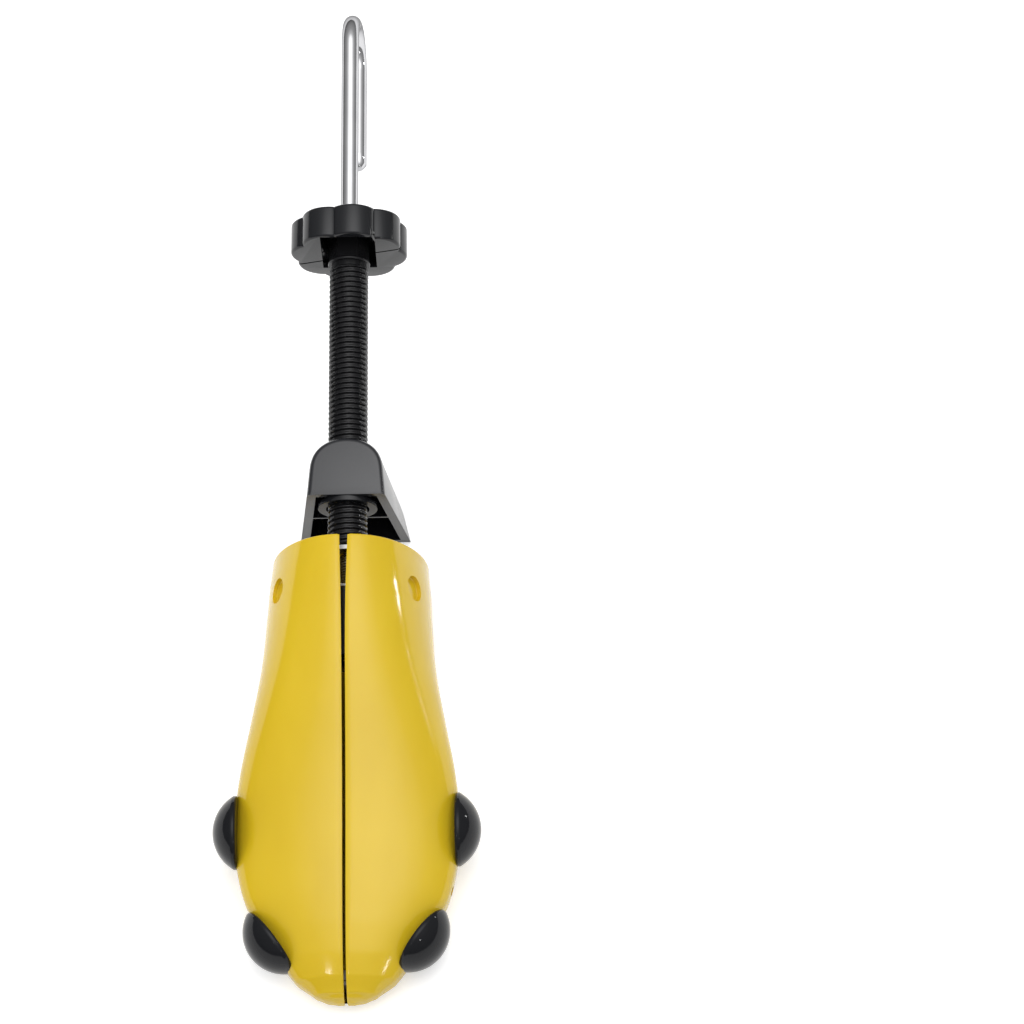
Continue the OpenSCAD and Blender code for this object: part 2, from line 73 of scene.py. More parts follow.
# The camera first: a long lens above the toe end, the object left of its middle
camera = {
    "place": (82.5795, -568.7637, 1117.7545), "lens": 119.565,
    "right": (0.99965381, -0.00686858, -0.02539844),
    "up": (0.01818449, 0.87802188, 0.47827493),
    "back": (0.01901532, -0.47857122, 0.87784282),
}
cameraData = bpy.data.cameras.new("studioCamera")
cameraData.lens = camera["lens"]
cameraData.sensor_width = 36
cameraData.sensor_fit = "HORIZONTAL"
cameraData.clip_end = 20
cameraObject = bpy.data.objects.new("studioCamera", cameraData)
bpy.context.scene.collection.objects.link(cameraObject)
axes = np.array([camera["right"], camera["up"], camera["back"]]).T
place = toRow(camera["place"])
cameraObject.matrix_world = Matrix([
    [*axes[0], place[0]], [*axes[1], place[1]], [*axes[2], place[2]], [0, 0, 0, 1]])
bpy.context.scene.camera = cameraObject
print("camera placed")


def meshObject(name, points, faces, smoothAngle=35):
    mesh = bpy.data.meshes.new(name)
    mesh.from_pydata(np.asarray(points, float).reshape(-1, 3).tolist(), [], faces)
    mesh.validate()
    mesh.shade_smooth()
    mesh.set_sharp_from_angle(angle=math.radians(smoothAngle))
    piece = bpy.data.objects.new(name, mesh)
    bpy.context.scene.collection.objects.link(piece)
    return piece


def ringFaces(rows, columns):
    # face (i, j) joins points (i, j), (i, j + 1), (i + 1, j + 1), (i + 1, j), and j wraps round
    i, j = np.meshgrid(np.arange(rows - 1), np.arange(columns), indexing="ij")
    k = (j + 1) % columns
    quads = [i * columns + j, i * columns + k, (i + 1) * columns + k, (i + 1) * columns + j]
    return np.stack(quads, axis=-1).reshape(-1, 4).tolist()


def closedLoft(name, rings, smoothAngle=35, capEnds=True):
    # rings[i, j]: closed outline j carried through stations i, with a flat cap at each end
    rings = np.asarray(rings, float)
    rows, columns = rings.shape[:2]
    faces = ringFaces(rows, columns)
    if capEnds:
        faces.append(list(range(columns))[::-1])
        faces.append(list(range((rows - 1) * columns, rows * columns)))
    return meshObject(name, toRow(rings), faces, smoothAngle)


def outward(piece):
    # merge doubles, then point every face away from the inside
    work = bmesh.new()
    work.from_mesh(piece.data)
    bmesh.ops.remove_doubles(work, verts=work.verts, dist=1e-6)
    bmesh.ops.recalc_face_normals(work, faces=work.faces)
    work.to_mesh(piece.data)
    work.free()
    return piece


def applied(piece, smoothAngle=35):
    # the piece's modifiers worked into its mesh
    graph = bpy.context.evaluated_depsgraph_get()
    made = bpy.data.meshes.new_from_object(piece.evaluated_get(graph))
    old = piece.data
    piece.modifiers.clear()
    piece.data = made
    made.name = piece.name
    bpy.data.meshes.remove(old)
    made.shade_smooth()
    made.set_sharp_from_angle(angle=math.radians(smoothAngle))
    return piece


def discard(piece):
    mesh = piece.data
    bpy.data.objects.remove(piece)
    bpy.data.meshes.remove(mesh)


def combine(piece, others, operation, smoothAngle=35):
    # each of the others is joined to, cut from or crossed with the piece, then thrown away
    for other in others:
        step = piece.modifiers.new("step", "BOOLEAN")
        step.operation = operation
        step.solver = "EXACT"
        step.object = other
        applied(piece, smoothAngle)
        discard(other)
    return piece


def copyOf(piece):
    twin = bpy.data.objects.new(piece.name + "Copy", piece.data.copy())
    bpy.context.scene.collection.objects.link(twin)
    return twin


def bevelled(piece, width, segments, angle):
    step = piece.modifiers.new("edge", "BEVEL")
    step.width = width / 1000
    step.segments = segments
    step.limit_method = "ANGLE"
    step.angle_limit = math.radians(angle)
    step.miter_outer = "MITER_ARC"
    return applied(piece)


def turned(name, origin, axis, profile, sides=96):
    # profile (height, radius) turned round an axis: point = origin + h a + r (u cos t + v sin t)
    axis = np.asarray(axis, float) / np.linalg.norm(axis)
    side = np.cross(axis, [0.0, 0.0, 1.0] if abs(axis[2]) < 0.9 else [1.0, 0.0, 0.0])
    side /= np.linalg.norm(side)
    other = np.cross(axis, side)
    t = np.linspace(0, 2 * np.pi, sides, endpoint=False)
    profile = np.asarray(profile, float)
    ring = side[None, :] * np.cos(t)[:, None] + other[None, :] * np.sin(t)[:, None]
    points = (np.asarray(origin, float) + profile[:, 0, None, None] * axis
              + profile[:, 1, None, None] * ring[None, :, :])
    return outward(closedLoft(name, points))


def tubeAxis():
    return [0, math.cos(tube["tilt"]), math.sin(tube["tilt"])]


def bar(name, q, length, diameter, sides=96):
    # a round bar on the tube's own line, from q on
    return turned(name, alongTube(0, q, 0), tubeAxis(), [(0, diameter / 2), (length, diameter / 2)], sides)


def barBetween(name, start, end, radius, sides):
    length = float(np.linalg.norm(end - start))
    return turned(name, start, end - start, [(0, radius), (length, radius)], sides)


def boxCorners(low, high):
    # the lower four corners in turn, then the upper four, as three rows of coordinates
    first = np.array([low[0], high[0], high[0], low[0]] * 2)
    second = np.array([low[1], low[1], high[1], high[1]] * 2)
    third = np.array([low[2]] * 4 + [high[2]] * 4)
    return first, second, third


def block(name, corners):
    faces = [[0, 3, 2, 1], [4, 5, 6, 7], [0, 1, 5, 4], [1, 2, 6, 5], [2, 3, 7, 6], [3, 0, 4, 7]]
    return outward(meshObject(name, toRow(corners), faces))


def levelBlock(name, low, high):
    # a box square to the floor
    return block(name, np.stack(boxCorners(low, high), axis=-1))


def tubeBlock(name, low, high, roll=0.0):
    # a box in the tube's own frame, turned by roll round the tube: x' = x c - p s, p' = x s + p c
    x, q, p = boxCorners(low, high)
    c, s = math.cos(roll), math.sin(roll)
    return block(name, alongTube(x * c - p * s, q, x * s + p * c))


# Materials
def newMaterial(name):
    material = bpy.data.materials.new(name)
    material.use_nodes = True
    tree = material.node_tree
    return material, tree, tree.nodes["Principled BSDF"]


def linked(tree, kind, inputs=(), **settings):
    # a node with its settings made and its sockets filled by number or by link
    node = tree.nodes.new(kind)
    for key, value in settings.items():
        setattr(node, key, value)
    for key, value in inputs:
        if isinstance(value, bpy.types.NodeSocket):
            tree.links.new(value, node.inputs[key])
        else:
            node.inputs[key].default_value = value
    return node


def ramp(tree, source, stops):
    node = tree.nodes.new("ShaderNodeValToRGB")
    tree.links.new(source, node.inputs["Fac"])
    while len(node.color_ramp.elements) < len(stops):
        node.color_ramp.elements.new(0.5)
    for element, (spot, shade) in zip(node.color_ramp.elements, stops):
        element.position = spot
        element.color = (*shade, 1)
    return node.outputs["Color"]


plasticGrain = {
    "driftScale": 14.0, "smearScale": 60.0, "scuffScale": (900.0, 60.0, 500.0), "scuffTurn": (0.2, 0.1, 0.5),
    "scuffFrom": 0.66, "scuffTo": 0.74, "peelDepth": 0.0002, "scuffDepth": 0.00006,
    "scatterReach": (1.0, 0.6, 0.15), "scatterDepth": 0.0012,
}


def mouldedPlastic(name, settings):
    # moulded plastic: slow colour drift, faint flow streaks, orange-peel gloss and hairline scuffs
    material, tree, shader = newMaterial(name)
    grain = plasticGrain
    place = linked(tree, "ShaderNodeTexCoord").outputs["Object"]
    drift = linked(tree, "ShaderNodeTexNoise", [
        ("Vector", place), ("Scale", grain["driftScale"]), ("Detail", 2.0)])
    stretch = linked(tree, "ShaderNodeMapping", [("Vector", place), ("Scale", settings["flowScale"])])
    flow = linked(tree, "ShaderNodeTexNoise", [
        ("Vector", stretch.outputs["Vector"]), ("Scale", 1.0), ("Detail", 3.0), ("Roughness", 0.55)])
    blend = linked(tree, "ShaderNodeMix", [
        (0, 0.5), (2, drift.outputs["Fac"]), (3, flow.outputs["Fac"])], data_type="FLOAT")
    colour = ramp(tree, blend.outputs[0], settings["shades"])
    speck = linked(tree, "ShaderNodeTexVoronoi", [("Vector", place), ("Scale", settings["speckScale"])])
    speckFac = ramp(tree, speck.outputs["Distance"], [(0.0, (1, 1, 1)), (settings["speckSize"], (0, 0, 0))])
    colour = linked(tree, "ShaderNodeMix", [
        (0, speckFac), (6, colour), (7, (*settings["speckColour"], 1))], data_type="RGBA")
    tree.links.new(colour.outputs[2], shader.inputs["Base Color"])
    smear = linked(tree, "ShaderNodeTexNoise", [
        ("Vector", place), ("Scale", grain["smearScale"]), ("Detail", 4.0)])
    low, high = settings["roughness"]
    rough = linked(tree, "ShaderNodeMapRange", [
        ("Value", smear.outputs["Fac"]), ("From Min", 0.3), ("From Max", 0.75),
        ("To Min", low), ("To Max", high)])
    tree.links.new(rough.outputs["Result"], shader.inputs["Roughness"])
    peel = linked(tree, "ShaderNodeTexNoise", [
        ("Vector", place), ("Scale", settings["peelScale"]), ("Detail", 2.0)])
    scuffPlace = linked(tree, "ShaderNodeMapping", [
        ("Vector", place), ("Scale", grain["scuffScale"]), ("Rotation", grain["scuffTurn"])])
    scuff = linked(tree, "ShaderNodeTexNoise", [
        ("Vector", scuffPlace.outputs["Vector"]), ("Scale", 1.0), ("Detail", 2.0)])
    scuffLine = ramp(tree, scuff.outputs["Fac"], [
        (grain["scuffFrom"], (0, 0, 0)), (grain["scuffTo"], (1, 1, 1))])
    first = linked(tree, "ShaderNodeBump", [
        ("Height", peel.outputs["Fac"]), ("Strength", settings["peelStrength"]),
        ("Distance", grain["peelDepth"])])
    second = linked(tree, "ShaderNodeBump", [
        ("Height", scuffLine), ("Strength", settings["scuffStrength"]), ("Distance", grain["scuffDepth"]),
        ("Normal", first.outputs["Normal"])])
    tree.links.new(second.outputs["Normal"], shader.inputs["Normal"])
    shader.inputs["IOR"].default_value = settings.get("ior", 1.5)
    shader.inputs["Specular IOR Level"].default_value = settings["specular"]
    if "scatter" in settings:
        shader.inputs["Subsurface Weight"].default_value = settings["scatter"]
        shader.inputs["Subsurface Radius"].default_value = grain["scatterReach"]
        shader.inputs["Subsurface Scale"].default_value = grain["scatterDepth"]
    return material


metalGrain = {"cloudScale": 90.0, "streakDepth": 0.00005}


def metal(name, settings):
    # metal: drawn streaks along one way, a slow cloud in the colour and the gloss
    material, tree, shader = newMaterial(name)
    place = linked(tree, "ShaderNodeTexCoord").outputs["Object"]
    stretch = linked(tree, "ShaderNodeMapping", [
        ("Vector", place), ("Rotation", settings["turn"]), ("Scale", settings["streak"])])
    streaks = linked(tree, "ShaderNodeTexNoise", [
        ("Vector", stretch.outputs["Vector"]), ("Scale", 1.0), ("Detail", 3.0)])
    cloud = linked(tree, "ShaderNodeTexNoise", [
        ("Vector", place), ("Scale", metalGrain["cloudScale"]), ("Detail", 3.0)])
    colour = ramp(tree, cloud.outputs["Fac"], settings["shades"])
    tree.links.new(colour, shader.inputs["Base Color"])
    blend = linked(tree, "ShaderNodeMix", [
        (0, 0.5), (2, streaks.outputs["Fac"]), (3, cloud.outputs["Fac"])], data_type="FLOAT")
    low, high = settings["roughness"]
    rough = linked(tree, "ShaderNodeMapRange", [
        ("Value", blend.outputs[0]), ("From Min", 0.3), ("From Max", 0.7), ("To Min", low), ("To Max", high)])
    tree.links.new(rough.outputs["Result"], shader.inputs["Roughness"])
    bump = linked(tree, "ShaderNodeBump", [
        ("Height", streaks.outputs["Fac"]), ("Strength", settings["bump"]),
        ("Distance", metalGrain["streakDepth"])])
    tree.links.new(bump.outputs["Normal"], shader.inputs["Normal"])
    shader.inputs["Metallic"].default_value = 1.0
    edge = settings["edge"]
    shader.inputs["Specular Tint"].default_value = (edge, edge, edge, 1)
    return material


finishes = {
    "yellow": mouldedPlastic("yellowPlastic", {
        "shades": [(0.32, (0.62, 0.42, 0.012)), (0.5, (0.66, 0.455, 0.015)), (0.68, (0.70, 0.49, 0.02))],
        "flowScale": (40.0, 9.0, 40.0), "speckScale": 160.0, "speckSize": 0.035,
        "speckColour": (0.56, 0.37, 0.015), "roughness": (0.09, 0.14), "peelScale": 420.0,
        "peelStrength": 0.05, "scuffStrength": 0.03, "specular": 0.45, "scatter": 0.1}),
    "black": mouldedPlastic("blackPlastic", {
        "shades": [(0.3, (0.0065, 0.007, 0.0085)), (0.7, (0.010, 0.0105, 0.0125))],
        "flowScale": (60.0, 15.0, 60.0), "speckScale": 240.0, "speckSize": 0.03,
        "speckColour": (0.02, 0.02, 0.022), "roughness": (0.14, 0.2), "peelScale": 900.0,
        "peelStrength": 0.06, "scuffStrength": 0.025, "specular": 0.42}),
    "heel": mouldedPlastic("heelPlastic", {
        "shades": [(0.3, (0.0085, 0.009, 0.0115)), (0.7, (0.0125, 0.013, 0.016))],
        "flowScale": (50.0, 12.0, 50.0), "speckScale": 240.0, "speckSize": 0.03,
        "speckColour": (0.02, 0.02, 0.022), "roughness": (0.15, 0.21), "peelScale": 900.0,
        "peelStrength": 0.06, "scuffStrength": 0.03, "specular": 0.78}),
    "pad": mouldedPlastic("padPlastic", {
        "shades": [(0.3, (0.0075, 0.008, 0.0095)), (0.7, (0.012, 0.0125, 0.0145))],
        "flowScale": (50.0, 50.0, 50.0), "speckScale": 260.0, "speckSize": 0.03,
        "speckColour": (0.018, 0.018, 0.02), "roughness": (0.07, 0.12), "peelScale": 700.0,
        "peelStrength": 0.05, "scuffStrength": 0.04, "specular": 0.34, "ior": 1.38}),
    "thread": mouldedPlastic("tubePlastic", {
        "shades": [(0.3, (0.006, 0.006, 0.0068)), (0.7, (0.010, 0.010, 0.011))],
        "flowScale": (80.0, 20.0, 80.0), "speckScale": 300.0, "speckSize": 0.03,
        "speckColour": (0.02, 0.02, 0.02), "roughness": (0.16, 0.25), "peelScale": 1200.0,
        "peelStrength": 0.1, "scuffStrength": 0.05, "specular": 0.28}),
    "chrome": metal("chromeRod", {
        "shades": [(0.3, (0.60, 0.60, 0.615)), (0.7, (0.67, 0.67, 0.685))],
        "turn": (-tube["tilt"], 0.0, 0.0), "streak": (1500.0, 60.0, 1500.0),
        "roughness": (0.05, 0.11), "bump": 0.05, "edge": 0.3}),
    "steel": metal("plainSteel", {
        "shades": [(0.3, (0.34, 0.34, 0.33)), (0.7, (0.46, 0.455, 0.44))],
        "turn": (0.0, 0.0, 0.0), "streak": (120.0, 1400.0, 1400.0),
        "roughness": (0.2, 0.36), "bump": 0.2, "edge": 0.8}),
    # painted shade: steel given a dark colour so the hinge pin and leaves read as shaded inside the closed
    # seam
    "paintedShadeSteel": metal("hingeSteelPaintedShade", {
        "shades": [(0.3, (0.07, 0.068, 0.06)), (0.7, (0.12, 0.115, 0.10))],
        "turn": (0.0, 0.0, 0.0), "streak": (120.0, 1400.0, 1400.0),
        "roughness": (0.3, 0.45), "bump": 0.2, "edge": 0.8}),
    # the threaded steel end is painted darker and olive: painted shade inside the form, with a painted
    # reflection of its yellow walls
    "rodThread": metal("threadPaintedShade", {
        "shades": [(0.3, (0.20, 0.19, 0.13)), (0.7, (0.38, 0.36, 0.27))],
        "turn": (-tube["tilt"], 0.0, 0.0), "streak": (1200.0, 90.0, 1200.0),
        "roughness": (0.25, 0.4), "bump": 0.15, "edge": 0.8}),
}
print("materials made")


def finish(piece, material, body, replaced):
    piece.data.materials.clear()
    piece.data.materials.append(material)
    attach(piece, body)
    if replaced:
        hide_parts(*replaced)


# Toe form
form = {
    "length": span["formLength"], "rearHeight": 61.0, "wall": 2.6, "slant": 60.0, "squareness": 0.55,
    "cut": 0.8, "round": 0.45, "hollowEnd": 0.93, "bodyRings": 150, "toeRings": 43, "arcPoints": 91,
    # share of length, half width, ridge, widest line, underside, half gap
    "stations": np.array([
        (0.000, 28.4, 61.0, 20.0, 0.0, 1.45), (0.060, 29.3, 60.2, 21.0, 0.0, 1.2),
        (0.130, 29.9, 58.4, 22.0, 0.0, 0.9), (0.240, 31.4, 54.0, 22.0, 0.0, 0.68),
        (0.360, 34.7, 47.8, 21.0, 0.0, 0.64), (0.480, 38.1, 41.4, 19.5, 0.0, 0.62),
        (0.600, 39.8, 36.0, 18.0, 0.0, 0.6), (0.700, 38.5, 32.2, 16.5, 0.0, 0.6),
        (0.780, 35.2, 29.0, 15.2, 0.2, 0.58), (0.850, 28.9, 25.8, 14.0, 0.8, 0.56),
        (0.910, 22.9, 22.2, 12.6, 1.8, 0.54), (0.955, 17.4, 18.2, 11.2, 3.0, 0.5),
        (0.985, 10.9, 13.9, 9.8, 4.5, 0.5), (0.9945, 7.3, 11.9, 9.0, 5.4, 0.5),
        (1.000, 3.2, 9.4, 8.2, 6.4, 0.5)]),
    "recess": {"back": 14.8, "height": 43.0, "radius": 4.7, "depth": 2.0, "chamfer": 0.25},
    "spare": {"back": 116.8, "height": 13.0, "radius": 1.8, "depth": 1.7, "turn": math.radians(78.0)},
    # the black lip under the seam stands partly for painted shade in the joint
    "lip": {"start": 0.862, "end": 0.99, "half": 1.5, "drop": 0.7, "clear": 0.3, "overlap": 0.2, "gap": 0.1},
}


def stationValue(u, column):
    # Catmull-Rom through the table: 0.5 (2q + (r-p)t + (2p-5q+4r-s)tt + (3q-p-3r+s)ttt)
    table = form["stations"]
    u = np.asarray(u, float)
    i = np.clip(np.searchsorted(table[:, 0], u, side="right") - 1, 0, len(table) - 2)
    t = (u - table[i, 0]) / (table[i + 1, 0] - table[i, 0])
    p = table[np.clip(i - 1, 0, None), column]
    q = table[i, column]
    r = table[i + 1, column]
    s = table[np.clip(i + 2, None, len(table) - 1), column]
    value = 0.5 * (2 * q + (r - p) * t + (2 * p - 5 * q + 4 * r - s) * t ** 2
                   + (3 * q - p - 3 * r + s) * t ** 3)
    return np.maximum(value, 0) if column == 4 else value


def sectionPoint(u, angle, inset):
    # above the widest line x = g + (w - g) cos a, z = m + (t - m) sin a; under it cos and sin carry
    # the squareness as a power, and the curve is cut off flat at the underside
    half = stationValue(u, 1) - inset
    top = stationValue(u, 2) - inset
    low = stationValue(u, 4) + inset
    middle = stationValue(u, 3)
    gap = stationValue(u, 5)
    c, s = np.clip(np.cos(angle), 0, 1), np.sin(angle)
    under = np.clip(-s, 0, 1) ** form["squareness"]
    x = gap + (half - gap) * np.where(s >= 0, c, c ** form["squareness"])
    z = np.where(s >= 0, middle + (top - middle) * s,
                 np.maximum(low, middle - (middle - low + form["cut"]) * under))
    lean = (form["rearHeight"] - z) * math.tan(tube["tilt"]) * np.clip(
        1 - u * form["length"] / form["slant"], 0, None) ** 2
    return np.stack([x, lean - u * form["length"], z], axis=-1)


def skinPlace(back, height):
    # the point of the skin so far from the rear edge and so high, on its outer side
    u = back / form["length"]
    middle, top, low = stationValue(u, 3), stationValue(u, 2), stationValue(u, 4)
    if height >= middle:
        angle = math.asin((height - middle) / (top - middle))
    else:
        angle = -math.asin(((middle - height) / (middle - low + form["cut"])) ** (1 / form["squareness"]))
    return sectionPoint(np.array(u), np.array(angle), 0)


def sideways(side, turn):
    # a level direction turned from the toe's way towards one side: (sin turn, -cos turn, 0)
    return [side * math.sin(turn), -math.cos(turn), 0]


def shellCutters(side):
    # a round recess cut square to the skin, and a small blind hole
    recess, spare = form["recess"], form["spare"]
    spot = skinPlace(recess["back"], recess["height"])
    rise = skinPlace(recess["back"], recess["height"] + 1) - skinPlace(recess["back"], recess["height"] - 1)
    spot[0] *= side
    profile = [(-recess["depth"], recess["radius"] - recess["chamfer"]),
               (-recess["depth"] + recess["chamfer"], recess["radius"]), (9, recess["radius"])]
    cutters = [turned("recessCut", spot, [side * rise[2], 0, -rise[0]], profile, 64)]
    spot = skinPlace(spare["back"], spare["height"])
    spot[0] *= side
    profile = [(-spare["depth"], spare["radius"]), (3, spare["radius"])]
    cutters.append(turned("spareCut", spot, sideways(side, spare["turn"]), profile, 48))
    return cutters


def formShell(name, side):
    # ring = rounded joint edge, outer arc, rounded joint edge, inner arc back; rings run to the toe.
    # The rear edge is rounded: inset = r (1 - sin(acos(1 - back / r)))
    r, hollowEnd = form["round"], form["hollowEnd"]
    lead = np.array([0.0, 0.08, 0.3, 0.62, 1.0])
    leadInset = r * (1 - np.sin(np.arccos(1 - lead)))
    body = np.linspace(0.006, hollowEnd, form["bodyRings"])
    toe = 1 - (1 - hollowEnd) * (1 - np.linspace(0, 1, form["toeRings"] + 1)[1:]) ** 1.7
    u = np.concatenate([lead * r / form["length"], body, toe])
    inset = np.concatenate([leadInset, np.zeros(len(body) + len(toe))])
    angles = np.radians(np.linspace(90, -90, form["arcPoints"]))
    uGrid, angleGrid = np.meshgrid(u, angles, indexing="ij")
    outer = sectionPoint(uGrid, angleGrid, inset[:, None])
    # near the joint the arc falls away: drop = lift (1 - sqrt(1 - fade fade))
    gap = stationValue(u, 5)[:, None]
    lift = np.minimum(r, (stationValue(u, 1)[:, None] - gap) * 0.4)
    fade = np.clip(1 - (outer[..., 0] - gap) / lift, 0, 1)
    drop = lift * (1 - np.sqrt(np.clip(1 - fade ** 2, 0, 1)))
    z = outer[..., 2]
    outer[..., 2] = np.where(z > stationValue(u, 3)[:, None], z - drop, z + drop)
    # inside, the wall's other face; past the hollow, a flat joint face
    inner = sectionPoint(uGrid, angleGrid, form["wall"])
    share = (np.arange(len(angles)) / (len(angles) - 1))[None, :]
    top, low = outer[:, :1, 2], outer[:, -1:, 2]
    flatZ = top - (top - low) * (0.1 + 0.8 * share)
    flat = np.stack(np.broadcast_arrays(gap, outer[:, :1, 1], flatZ), axis=-1)
    inner = np.where((uGrid < hollowEnd)[..., None], inner, flat)
    rings = np.concatenate([outer, inner[:, ::-1]], axis=1)
    rings[..., 0] *= side
    piece = outward(closedLoft(name, rings, smoothAngle=40))
    return combine(piece, shellCutters(side), "DIFFERENCE", 40)


for side, word in ((-1, "left"), (1, "right")):
    shell = formShell(word + "FormHalf", side)
    finish(shell, finishes["yellow"], word + "_half", [word + "_half_shell"])


def seamLipPaintedShade():
    # a thin black lip fixed under one half that closes the joint from below where the toe lifts; it is also
    # a dark sheet for painted shade, so the seam reads dark over the floor: its section follows the
    # underside, z = underside - drop
    lip = form["lip"]
    u = np.linspace(lip["start"], lip["end"], 40)
    low = stationValue(u, 4)
    half = np.minimum(lip["half"], stationValue(u, 1) * 0.5)
    gap = stationValue(u, 5) + lip["gap"]
    section = [(-half, low + lip["overlap"]), (-half, low - lip["drop"]), (half, low - lip["drop"]),
               (half, low - lip["clear"]), (-gap, low - lip["clear"]), (-gap, low + lip["overlap"])]
    rings = np.stack([np.stack([x, -u * form["length"], z], axis=-1) for x, z in section], axis=1)
    return outward(closedLoft("seamLipPaintedShade", rings))


finish(seamLipPaintedShade(), finishes["black"], "left_half", ())
print("toe form made")

# Bunion pads
pads = {
    "base": 1.6, "edge": 0.9, "stem": 2.3, "stemEnd": -4.1, "pole": 0.0004,
    "ball": {"back": 96.0, "height": 19.0, "turn": math.radians(90.0), "radius": 13.0, "rise": 7.5},
    "toe": {"back": 135.4, "height": 13.0, "turn": math.radians(52.0), "radius": 12.8, "rise": 7.6},
}


def domePad(name, side, pad):
    # profile: a stem in the form, a flat back, a short rounded rim, then an arc of a circle to the
    # pole, whose radius is (r r + h h) / 2 h
    spot = skinPlace(pad["back"], pad["height"])
    spot[0] *= side
    radius, rise, e = pad["radius"], pad["rise"], pads["edge"]
    sphere = (radius ** 2 + rise ** 2) / (2 * rise)
    t = np.linspace(math.asin(radius / sphere), 0.0, 34)
    dome = np.stack([rise - sphere + sphere * np.cos(t), sphere * np.sin(t)], axis=-1)
    dome[-1, 1] = pads["pole"]
    b = np.radians(np.linspace(-90, 0, 6))
    rim = np.stack([-pads["base"] + e + e * np.sin(b), radius - e + e * np.cos(b)], axis=-1)
    stem = [(pads["stemEnd"], pads["pole"]), (pads["stemEnd"], pads["stem"]), (-pads["base"], pads["stem"])]
    return turned(name, spot, sideways(side, pad["turn"]), np.concatenate([stem, rim, dome]), 112)


for side, word in ((-1, "left"), (1, "right")):
    for part in ("ball", "toe"):
        pad = domePad(word + part.capitalize() + "Pad", side, pads[part])
        finish(pad, finishes["pad"], word + "_half", [word + "_" + part + "_pad"])
print("pads made")


# Threaded tube
def threadRadius(theta, q, crest, depth, pitch, start):
    # depth times a rounded trapezoid of the phase: phase = (q - start) / pitch - theta / turn
    phase = ((q - start) / pitch - theta / (2 * np.pi)) % 1.0
    wave = np.abs(phase - 0.5) * 2
    rise = np.clip((wave - 0.24) / 0.42, 0, 1)
    return crest - depth * (rise * rise * (3 - 2 * rise))


def hexRadius(theta, across):
    # distance to the side of a hexagon: half across / cos(angle to the middle of that side)
    return across / 2 / np.cos((theta + np.pi / 6) % (np.pi / 3) - np.pi / 6)


def threadedTube():
    # rows along the tube, theta round it: thread, neck, collar and hexagon, with x held to the flats
    start, neck, collar = tube["start"], tube["neck"], tube["collar"]
    hexStart, end = tube["hexStart"], tube["end"]
    rows = np.concatenate([
        [start, start + 0.01], np.arange(start + 0.12, neck, tube["step"]),
        [neck, neck + 0.05, collar, collar + 0.02, collar + 0.3,
         hexStart - 0.3, hexStart, hexStart + 0.05, end]])
    theta = np.linspace(0, 2 * np.pi, tube["columns"], endpoint=False)
    along, sweep = np.meshgrid(rows, theta, indexing="ij")
    fade = np.clip((along - start) / tube["runIn"], 0, 1) * np.clip((neck - along) / tube["runOut"], 0, 1)
    thread = threadRadius(sweep, along, tube["crest"], tube["depth"], tube["pitch"], start)
    radius = (tube["crest"] - tube["depth"]) * (1 - fade) + thread * fade
    radius = np.where(along >= neck, tube["neckRadius"], radius)
    drop = tube["collarDrop"]
    fall = np.clip(np.abs(along - tube["collarMiddle"]) - tube["collarFlat"], 0, drop)
    radius = np.where((along > collar) & (along <= hexStart), tube["collarRadius"] - fall, radius)
    radius = np.where(along > hexStart, hexRadius(sweep, tube["hexAcross"]), radius)
    x, p = radius * np.sin(sweep), radius * np.cos(sweep)
    x = np.where(along < neck, np.clip(x, -tube["flat"], tube["flat"]), x)
    rings = alongTube(x, along, p)
    inner = np.array([end - 0.01, start + 0.01])
    boreAlong, boreRound = np.meshgrid(inner, theta, indexing="ij")
    bore = alongTube(tube["bore"] * np.sin(boreRound), boreAlong, tube["bore"] * np.cos(boreRound))
    full = np.concatenate([rings, bore, rings[:1]], axis=0)
    return outward(closedLoft("threadedTubeBody", full, smoothAngle=48, capEnds=False))


finish(threadedTube(), finishes["thread"], "tube", ["threaded_tube"])
print("tube made")

# Knob
knob = {
    "q": 119.5, "thick": 12.1, "radius": 20.5, "wall": 2.0, "edge": 1.1,
    "lobes": 8, "lobe": 1.05, "lobeTurn": math.radians(4.7), "crease": 0.8,
    "seam": math.radians(17.7), "seamGap": 0.8,
    "window": (10.0, -10.0, 17.8), "windowTurn": math.radians(-1.5), "windowPast": 0.5,
    "bore": 8.9, "hexRoom": 15.4,
    "screwX": 12.4, "post": 3.2, "postEnd": 17.5, "head": 2.4, "headFrom": -24, "headTo": -7,
    "screw": 1.38, "screwTo": 9.5,
}


def lobedRings(qs, insets):
    # r = R - inset + lobe (2 |cos(n (a + turn) / 2)|^0.8 - 1): round lobes with a crease between
    # them, turned with the seam
    roll = knob["seam"]
    a = np.linspace(0, 2 * np.pi, 320, endpoint=False) - knob["lobeTurn"]
    start = math.pi / knob["lobes"] + knob["lobeTurn"]
    wave = 2 * np.abs(np.cos(knob["lobes"] / 2 * (a + start))) ** knob["crease"] - 1
    radius = knob["radius"] + knob["lobe"] * wave[None, :] - np.asarray(insets)[:, None]
    x = radius * np.cos(a) * math.cos(roll) - radius * np.sin(a) * math.sin(roll)
    p = radius * np.cos(a) * math.sin(roll) + radius * np.sin(a) * math.cos(roll)
    return alongTube(x, np.asarray(qs)[:, None], p)


def screwSpot(side, p):
    # a place on a screw's line, turned with the seam round the tube, half way through the knob
    x, roll = side * knob["screwX"], knob["seam"]
    return alongTube(x * math.cos(roll) - p * math.sin(roll), knob["q"] + knob["thick"] / 2,
                     x * math.sin(roll) + p * math.cos(roll))


def screwCutters(side):
    # the room for a screw's head, then for its shank
    start, end = screwSpot(side, knob["headFrom"]), screwSpot(side, knob["headTo"])
    top = screwSpot(side, knob["screwTo"])
    head = barBetween("screwHead", start, end, knob["head"], 32)
    shank = turned("screwBody", end - (end - start) * 0.1, top - end,
                   [(0, knob["screw"]), (knob["postEnd"], knob["screw"])], 32)
    return [head, shank]


